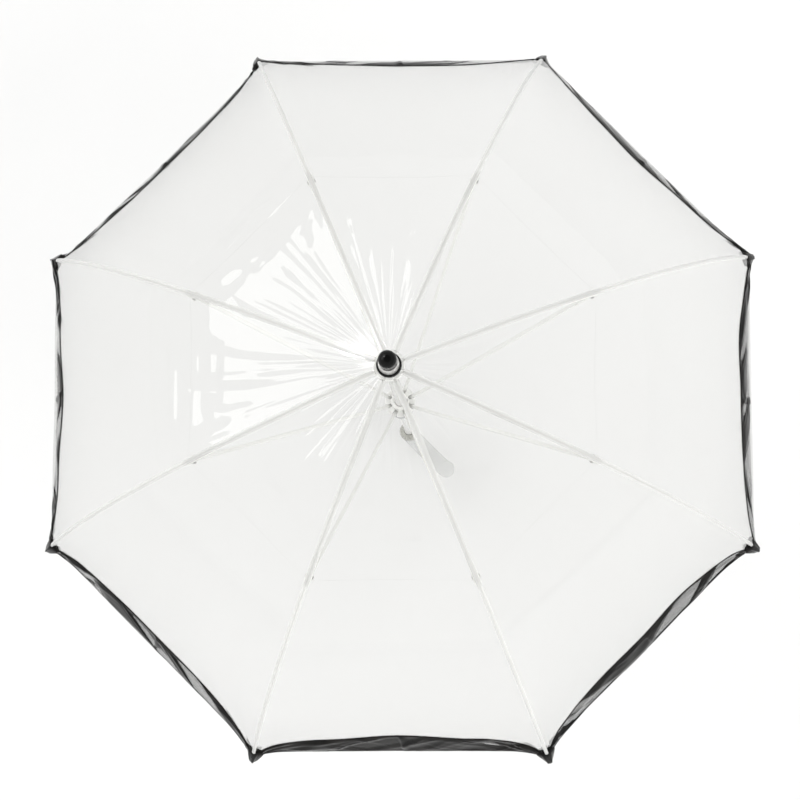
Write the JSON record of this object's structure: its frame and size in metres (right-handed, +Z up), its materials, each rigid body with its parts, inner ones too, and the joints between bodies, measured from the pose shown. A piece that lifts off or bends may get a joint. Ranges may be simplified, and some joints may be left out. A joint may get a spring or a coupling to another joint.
{
  "type": "dome stick umbrella",
  "caption": "Clear dome umbrella on a straight white stick, with a gloss black hem and ferrule, a fluted grey collar, a frosted crook, and a sliding runner that folds it.",
  "frame": {"origin": "on the shaft's axis, level with the lowest point of the crook", "axes": "+Z up the shaft to the ferrule; +X to the middle of gore 1; the crook curls towards +X-Y"},
  "size_m": [0.7948, 0.7948, 0.9001],
  "materials": {
    "white_paint": "white stove enamel, satin gloss",
    "white_rod": "white resin-bound glass fibre with moulded tips",
    "white_plastic": "white moulded plastic",
    "grey_plastic": "light grey moulded plastic",
    "black_plastic": "gloss black moulded plastic",
    "smoke_plastic": "smoky grey moulded plastic",
    "frosted_plastic": "frosted clear moulded plastic",
    "clear_plastic": "clear soft plastic",
    "silver": "satin silver",
    "steel": "bright spring steel",
    "film": "clear soft vinyl film, glossy, wrinkled",
    "hem": "gloss black vinyl binding"
  },
  "bodies": {
    "root": {"shaft": "white_paint", "ferrule_cap": "black_plastic", "ferrule_collar": "silver", "ferrule_base": "black_plastic", "crown_washer": "clear_plastic", "crown_hub": "white_plastic", "handle_collar": "smoke_plastic", "handle": "frosted_plastic"},
    "runner": {"runner": "white_plastic", "runner_grip": "grey_plastic"},
    "catch_top": {"catch_top": "steel"},
    "catch_bottom": {"catch_bottom": "steel"},
    "rib_upper_1": {"rib_upper_1": "white_paint"},
    "rib_lower_1": {"rib_lower_1": "white_rod"},
    "stretcher_1": {"stretcher_1": "white_paint"},
    "gore_upper_1": {"canopy_upper_1": "film"},
    "gore_lower_1": {"canopy_lower_1": "film", "hem_band_1": "hem"},
    "rib_upper_2": {"rib_upper_2": "white_paint"},
    "rib_lower_2": {"rib_lower_2": "white_rod"},
    "stretcher_2": {"stretcher_2": "white_paint"},
    "gore_upper_2": {"canopy_upper_2": "film"},
    "gore_lower_2": {"canopy_lower_2": "film", "hem_band_2": "hem"},
    "rib_upper_3": {"rib_upper_3": "white_paint"},
    "rib_lower_3": {"rib_lower_3": "white_rod"},
    "stretcher_3": {"stretcher_3": "white_paint"},
    "gore_upper_3": {"canopy_upper_3": "film"},
    "gore_lower_3": {"canopy_lower_3": "film", "hem_band_3": "hem"},
    "rib_upper_4": {"rib_upper_4": "white_paint"},
    "rib_lower_4": {"rib_lower_4": "white_rod"},
    "stretcher_4": {"stretcher_4": "white_paint"},
    "gore_upper_4": {"canopy_upper_4": "film"},
    "gore_lower_4": {"canopy_lower_4": "film", "hem_band_4": "hem"},
    "rib_upper_5": {"rib_upper_5": "white_paint"},
    "rib_lower_5": {"rib_lower_5": "white_rod"},
    "stretcher_5": {"stretcher_5": "white_paint"},
    "gore_upper_5": {"canopy_upper_5": "film"},
    "gore_lower_5": {"canopy_lower_5": "film", "hem_band_5": "hem"},
    "rib_upper_6": {"rib_upper_6": "white_paint"},
    "rib_lower_6": {"rib_lower_6": "white_rod"},
    "stretcher_6": {"stretcher_6": "white_paint"},
    "gore_upper_6": {"canopy_upper_6": "film"},
    "gore_lower_6": {"canopy_lower_6": "film", "hem_band_6": "hem"},
    "rib_upper_7": {"rib_upper_7": "white_paint"},
    "rib_lower_7": {"rib_lower_7": "white_rod"},
    "stretcher_7": {"stretcher_7": "white_paint"},
    "gore_upper_7": {"canopy_upper_7": "film"},
    "gore_lower_7": {"canopy_lower_7": "film", "hem_band_7": "hem"},
    "rib_upper_8": {"rib_upper_8": "white_paint"},
    "rib_lower_8": {"rib_lower_8": "white_rod"},
    "stretcher_8": {"stretcher_8": "white_paint"},
    "gore_upper_8": {"canopy_upper_8": "film"},
    "gore_lower_8": {"canopy_lower_8": "film", "hem_band_8": "hem"}
  },
  "joints": [
    {"name": "runner_slide", "type": "slide", "parent": "root", "child": "runner", "axis": [0, 0, -1], "range_m": [0, 0.195]},
    {"name": "rib_hinge_1", "type": "hinge", "parent": "root", "child": "rib_upper_1", "pos_m": [0.00978, 0.00405, 0.83804], "axis": [-0.3827, 0.9239, 0], "range_deg": [0, 60.12]},
    {"name": "rib_flex_1", "type": "hinge", "parent": "rib_upper_1", "child": "rib_lower_1", "pos_m": [0.19759, 0.08184, 0.75061], "axis": [-0.3827, 0.9239, 0], "range_deg": [-20.54, 0]},
    {"name": "stretcher_pivot_1", "type": "hinge", "parent": "rib_upper_1", "child": "stretcher_1", "pos_m": [0.19518, 0.08085, 0.74682], "axis": [-0.3827, 0.9239, 0], "range_deg": [-94.51, 0]},
    {"name": "gore_hinge_1", "type": "hinge", "parent": "root", "child": "gore_upper_1", "pos_m": [0.00978, 0, 0.83804], "axis": [0, 1, 0], "range_deg": [0, 58.12], "deforming": ["canopy_upper_1"]},
    {"name": "gore_flex_1", "type": "hinge", "parent": "gore_upper_1", "child": "gore_lower_1", "pos_m": [0.19979, 0, 0.75407], "axis": [0, 1, 0], "range_deg": [-21.14, 0], "deforming": ["canopy_lower_1", "hem_band_1"]},
    {"name": "rib_hinge_2", "type": "hinge", "parent": "root", "child": "rib_upper_2", "pos_m": [0.00405, 0.00978, 0.83804], "axis": [-0.9239, 0.3827, 0], "range_deg": [0, 60.12]},
    {"name": "rib_flex_2", "type": "hinge", "parent": "rib_upper_2", "child": "rib_lower_2", "pos_m": [0.08184, 0.19759, 0.75061], "axis": [-0.9239, 0.3827, 0], "range_deg": [-20.54, 0]},
    {"name": "stretcher_pivot_2", "type": "hinge", "parent": "rib_upper_2", "child": "stretcher_2", "pos_m": [0.08085, 0.19518, 0.74682], "axis": [-0.9239, 0.3827, 0], "range_deg": [-94.51, 0]},
    {"name": "gore_hinge_2", "type": "hinge", "parent": "root", "child": "gore_upper_2", "pos_m": [0.00691, 0.00691, 0.83804], "axis": [-0.7071, 0.7071, 0], "range_deg": [0, 58.12], "deforming": ["canopy_upper_2"]},
    {"name": "gore_flex_2", "type": "hinge", "parent": "gore_upper_2", "child": "gore_lower_2", "pos_m": [0.14127, 0.14127, 0.75407], "axis": [-0.7071, 0.7071, 0], "range_deg": [-21.14, 0], "deforming": ["canopy_lower_2", "hem_band_2"]},
    {"name": "rib_hinge_3", "type": "hinge", "parent": "root", "child": "rib_upper_3", "pos_m": [-0.00405, 0.00978, 0.83804], "axis": [-0.9239, -0.3827, 0], "range_deg": [0, 60.12]},
    {"name": "rib_flex_3", "type": "hinge", "parent": "rib_upper_3", "child": "rib_lower_3", "pos_m": [-0.08184, 0.19759, 0.75061], "axis": [-0.9239, -0.3827, 0], "range_deg": [-20.54, 0]},
    {"name": "stretcher_pivot_3", "type": "hinge", "parent": "rib_upper_3", "child": "stretcher_3", "pos_m": [-0.08085, 0.19518, 0.74682], "axis": [-0.9239, -0.3827, 0], "range_deg": [-94.51, 0]},
    {"name": "gore_hinge_3", "type": "hinge", "parent": "root", "child": "gore_upper_3", "pos_m": [0, 0.00978, 0.83804], "axis": [-1, 0, 0], "range_deg": [0, 58.12], "deforming": ["canopy_upper_3"]},
    {"name": "gore_flex_3", "type": "hinge", "parent": "gore_upper_3", "child": "gore_lower_3", "pos_m": [0, 0.19979, 0.75407], "axis": [-1, 0, 0], "range_deg": [-21.14, 0], "deforming": ["canopy_lower_3", "hem_band_3"]},
    {"name": "rib_hinge_4", "type": "hinge", "parent": "root", "child": "rib_upper_4", "pos_m": [-0.00978, 0.00405, 0.83804], "axis": [-0.3827, -0.9239, 0], "range_deg": [0, 60.12]},
    {"name": "rib_flex_4", "type": "hinge", "parent": "rib_upper_4", "child": "rib_lower_4", "pos_m": [-0.19759, 0.08184, 0.75061], "axis": [-0.3827, -0.9239, 0], "range_deg": [-20.54, 0]},
    {"name": "stretcher_pivot_4", "type": "hinge", "parent": "rib_upper_4", "child": "stretcher_4", "pos_m": [-0.19518, 0.08085, 0.74682], "axis": [-0.3827, -0.9239, 0], "range_deg": [-94.51, 0]},
    {"name": "gore_hinge_4", "type": "hinge", "parent": "root", "child": "gore_upper_4", "pos_m": [-0.00691, 0.00691, 0.83804], "axis": [-0.7071, -0.7071, 0], "range_deg": [0, 58.12], "deforming": ["canopy_upper_4"]},
    {"name": "gore_flex_4", "type": "hinge", "parent": "gore_upper_4", "child": "gore_lower_4", "pos_m": [-0.14127, 0.14127, 0.75407], "axis": [-0.7071, -0.7071, 0], "range_deg": [-21.14, 0], "deforming": ["canopy_lower_4", "hem_band_4"]},
    {"name": "rib_hinge_5", "type": "hinge", "parent": "root", "child": "rib_upper_5", "pos_m": [-0.00978, -0.00405, 0.83804], "axis": [0.3827, -0.9239, 0], "range_deg": [0, 60.12]},
    {"name": "rib_flex_5", "type": "hinge", "parent": "rib_upper_5", "child": "rib_lower_5", "pos_m": [-0.19759, -0.08184, 0.75061], "axis": [0.3827, -0.9239, 0], "range_deg": [-20.54, 0]},
    {"name": "stretcher_pivot_5", "type": "hinge", "parent": "rib_upper_5", "child": "stretcher_5", "pos_m": [-0.19518, -0.08085, 0.74682], "axis": [0.3827, -0.9239, 0], "range_deg": [-94.51, 0]},
    {"name": "gore_hinge_5", "type": "hinge", "parent": "root", "child": "gore_upper_5", "pos_m": [-0.00978, 0, 0.83804], "axis": [0, -1, 0], "range_deg": [0, 58.12], "deforming": ["canopy_upper_5"]},
    {"name": "gore_flex_5", "type": "hinge", "parent": "gore_upper_5", "child": "gore_lower_5", "pos_m": [-0.19979, 0, 0.75407], "axis": [0, -1, 0], "range_deg": [-21.14, 0], "deforming": ["canopy_lower_5", "hem_band_5"]},
    {"name": "rib_hinge_6", "type": "hinge", "parent": "root", "child": "rib_upper_6", "pos_m": [-0.00405, -0.00978, 0.83804], "axis": [0.9239, -0.3827, 0], "range_deg": [0, 60.12]},
    {"name": "rib_flex_6", "type": "hinge", "parent": "rib_upper_6", "child": "rib_lower_6", "pos_m": [-0.08184, -0.19759, 0.75061], "axis": [0.9239, -0.3827, 0], "range_deg": [-20.54, 0]},
    {"name": "stretcher_pivot_6", "type": "hinge", "parent": "rib_upper_6", "child": "stretcher_6", "pos_m": [-0.08085, -0.19518, 0.74682], "axis": [0.9239, -0.3827, 0], "range_deg": [-94.51, 0]},
    {"name": "gore_hinge_6", "type": "hinge", "parent": "root", "child": "gore_upper_6", "pos_m": [-0.00691, -0.00691, 0.83804], "axis": [0.7071, -0.7071, 0], "range_deg": [0, 58.12], "deforming": ["canopy_upper_6"]},
    {"name": "gore_flex_6", "type": "hinge", "parent": "gore_upper_6", "child": "gore_lower_6", "pos_m": [-0.14127, -0.14127, 0.75407], "axis": [0.7071, -0.7071, 0], "range_deg": [-21.14, 0], "deforming": ["canopy_lower_6", "hem_band_6"]},
    {"name": "rib_hinge_7", "type": "hinge", "parent": "root", "child": "rib_upper_7", "pos_m": [0.00405, -0.00978, 0.83804], "axis": [0.9239, 0.3827, 0], "range_deg": [0, 60.12]},
    {"name": "rib_flex_7", "type": "hinge", "parent": "rib_upper_7", "child": "rib_lower_7", "pos_m": [0.08184, -0.19759, 0.75061], "axis": [0.9239, 0.3827, 0], "range_deg": [-20.54, 0]},
    {"name": "stretcher_pivot_7", "type": "hinge", "parent": "rib_upper_7", "child": "stretcher_7", "pos_m": [0.08085, -0.19518, 0.74682], "axis": [0.9239, 0.3827, 0], "range_deg": [-94.51, 0]},
    {"name": "gore_hinge_7", "type": "hinge", "parent": "root", "child": "gore_upper_7", "pos_m": [0, -0.00978, 0.83804], "axis": [1, 0, 0], "range_deg": [0, 58.12], "deforming": ["canopy_upper_7"]},
    {"name": "gore_flex_7", "type": "hinge", "parent": "gore_upper_7", "child": "gore_lower_7", "pos_m": [0, -0.19979, 0.75407], "axis": [1, 0, 0], "range_deg": [-21.14, 0], "deforming": ["canopy_lower_7", "hem_band_7"]},
    {"name": "rib_hinge_8", "type": "hinge", "parent": "root", "child": "rib_upper_8", "pos_m": [0.00978, -0.00405, 0.83804], "axis": [0.3827, 0.9239, 0], "range_deg": [0, 60.12]},
    {"name": "rib_flex_8", "type": "hinge", "parent": "rib_upper_8", "child": "rib_lower_8", "pos_m": [0.19759, -0.08184, 0.75061], "axis": [0.3827, 0.9239, 0], "range_deg": [-20.54, 0]},
    {"name": "stretcher_pivot_8", "type": "hinge", "parent": "rib_upper_8", "child": "stretcher_8", "pos_m": [0.19518, -0.08085, 0.74682], "axis": [0.3827, 0.9239, 0], "range_deg": [-94.51, 0]},
    {"name": "gore_hinge_8", "type": "hinge", "parent": "root", "child": "gore_upper_8", "pos_m": [0.00691, -0.00691, 0.83804], "axis": [0.7071, 0.7071, 0], "range_deg": [0, 58.12], "deforming": ["canopy_upper_8"]},
    {"name": "gore_flex_8", "type": "hinge", "parent": "gore_upper_8", "child": "gore_lower_8", "pos_m": [0.14127, -0.14127, 0.75407], "axis": [0.7071, 0.7071, 0], "range_deg": [-21.14, 0], "deforming": ["canopy_lower_8", "hem_band_8"]},
    {"name": "catch_top_press", "type": "slide", "parent": "root", "child": "catch_top", "axis": [-1, 0, 0], "range_m": [0, 0.0026], "stiffness_N_per_m": 400, "springref_m": -0.002},
    {"name": "catch_bottom_press", "type": "slide", "parent": "root", "child": "catch_bottom", "axis": [-1, 0, 0], "range_m": [0, 0.0026], "stiffness_N_per_m": 400, "springref_m": -0.002}
  ],
  "couplings": [
    {"joint": "rib_hinge_1", "follows": "runner_slide", "rad_per_m": 5.3635},
    {"joint": "rib_flex_1", "follows": "runner_slide", "rad_per_m": -1.8325},
    {"joint": "stretcher_pivot_1", "follows": "runner_slide", "rad_per_m": -8.4317},
    {"joint": "gore_hinge_1", "follows": "runner_slide", "rad_per_m": 5.1847},
    {"joint": "gore_flex_1", "follows": "runner_slide", "rad_per_m": -1.8862},
    {"joint": "rib_hinge_2", "follows": "runner_slide", "rad_per_m": 5.3635},
    {"joint": "rib_flex_2", "follows": "runner_slide", "rad_per_m": -1.8325},
    {"joint": "stretcher_pivot_2", "follows": "runner_slide", "rad_per_m": -8.4317},
    {"joint": "gore_hinge_2", "follows": "runner_slide", "rad_per_m": 5.1847},
    {"joint": "gore_flex_2", "follows": "runner_slide", "rad_per_m": -1.8862},
    {"joint": "rib_hinge_3", "follows": "runner_slide", "rad_per_m": 5.3635},
    {"joint": "rib_flex_3", "follows": "runner_slide", "rad_per_m": -1.8325},
    {"joint": "stretcher_pivot_3", "follows": "runner_slide", "rad_per_m": -8.4317},
    {"joint": "gore_hinge_3", "follows": "runner_slide", "rad_per_m": 5.1847},
    {"joint": "gore_flex_3", "follows": "runner_slide", "rad_per_m": -1.8862},
    {"joint": "rib_hinge_4", "follows": "runner_slide", "rad_per_m": 5.3635},
    {"joint": "rib_flex_4", "follows": "runner_slide", "rad_per_m": -1.8325},
    {"joint": "stretcher_pivot_4", "follows": "runner_slide", "rad_per_m": -8.4317},
    {"joint": "gore_hinge_4", "follows": "runner_slide", "rad_per_m": 5.1847},
    {"joint": "gore_flex_4", "follows": "runner_slide", "rad_per_m": -1.8862},
    {"joint": "rib_hinge_5", "follows": "runner_slide", "rad_per_m": 5.3635},
    {"joint": "rib_flex_5", "follows": "runner_slide", "rad_per_m": -1.8325},
    {"joint": "stretcher_pivot_5", "follows": "runner_slide", "rad_per_m": -8.4317},
    {"joint": "gore_hinge_5", "follows": "runner_slide", "rad_per_m": 5.1847},
    {"joint": "gore_flex_5", "follows": "runner_slide", "rad_per_m": -1.8862},
    {"joint": "rib_hinge_6", "follows": "runner_slide", "rad_per_m": 5.3635},
    {"joint": "rib_flex_6", "follows": "runner_slide", "rad_per_m": -1.8325},
    {"joint": "stretcher_pivot_6", "follows": "runner_slide", "rad_per_m": -8.4317},
    {"joint": "gore_hinge_6", "follows": "runner_slide", "rad_per_m": 5.1847},
    {"joint": "gore_flex_6", "follows": "runner_slide", "rad_per_m": -1.8862},
    {"joint": "rib_hinge_7", "follows": "runner_slide", "rad_per_m": 5.3635},
    {"joint": "rib_flex_7", "follows": "runner_slide", "rad_per_m": -1.8325},
    {"joint": "stretcher_pivot_7", "follows": "runner_slide", "rad_per_m": -8.4317},
    {"joint": "gore_hinge_7", "follows": "runner_slide", "rad_per_m": 5.1847},
    {"joint": "gore_flex_7", "follows": "runner_slide", "rad_per_m": -1.8862},
    {"joint": "rib_hinge_8", "follows": "runner_slide", "rad_per_m": 5.3635},
    {"joint": "rib_flex_8", "follows": "runner_slide", "rad_per_m": -1.8325},
    {"joint": "stretcher_pivot_8", "follows": "runner_slide", "rad_per_m": -8.4317},
    {"joint": "gore_hinge_8", "follows": "runner_slide", "rad_per_m": 5.1847},
    {"joint": "gore_flex_8", "follows": "runner_slide", "rad_per_m": -1.8862}
  ]
}
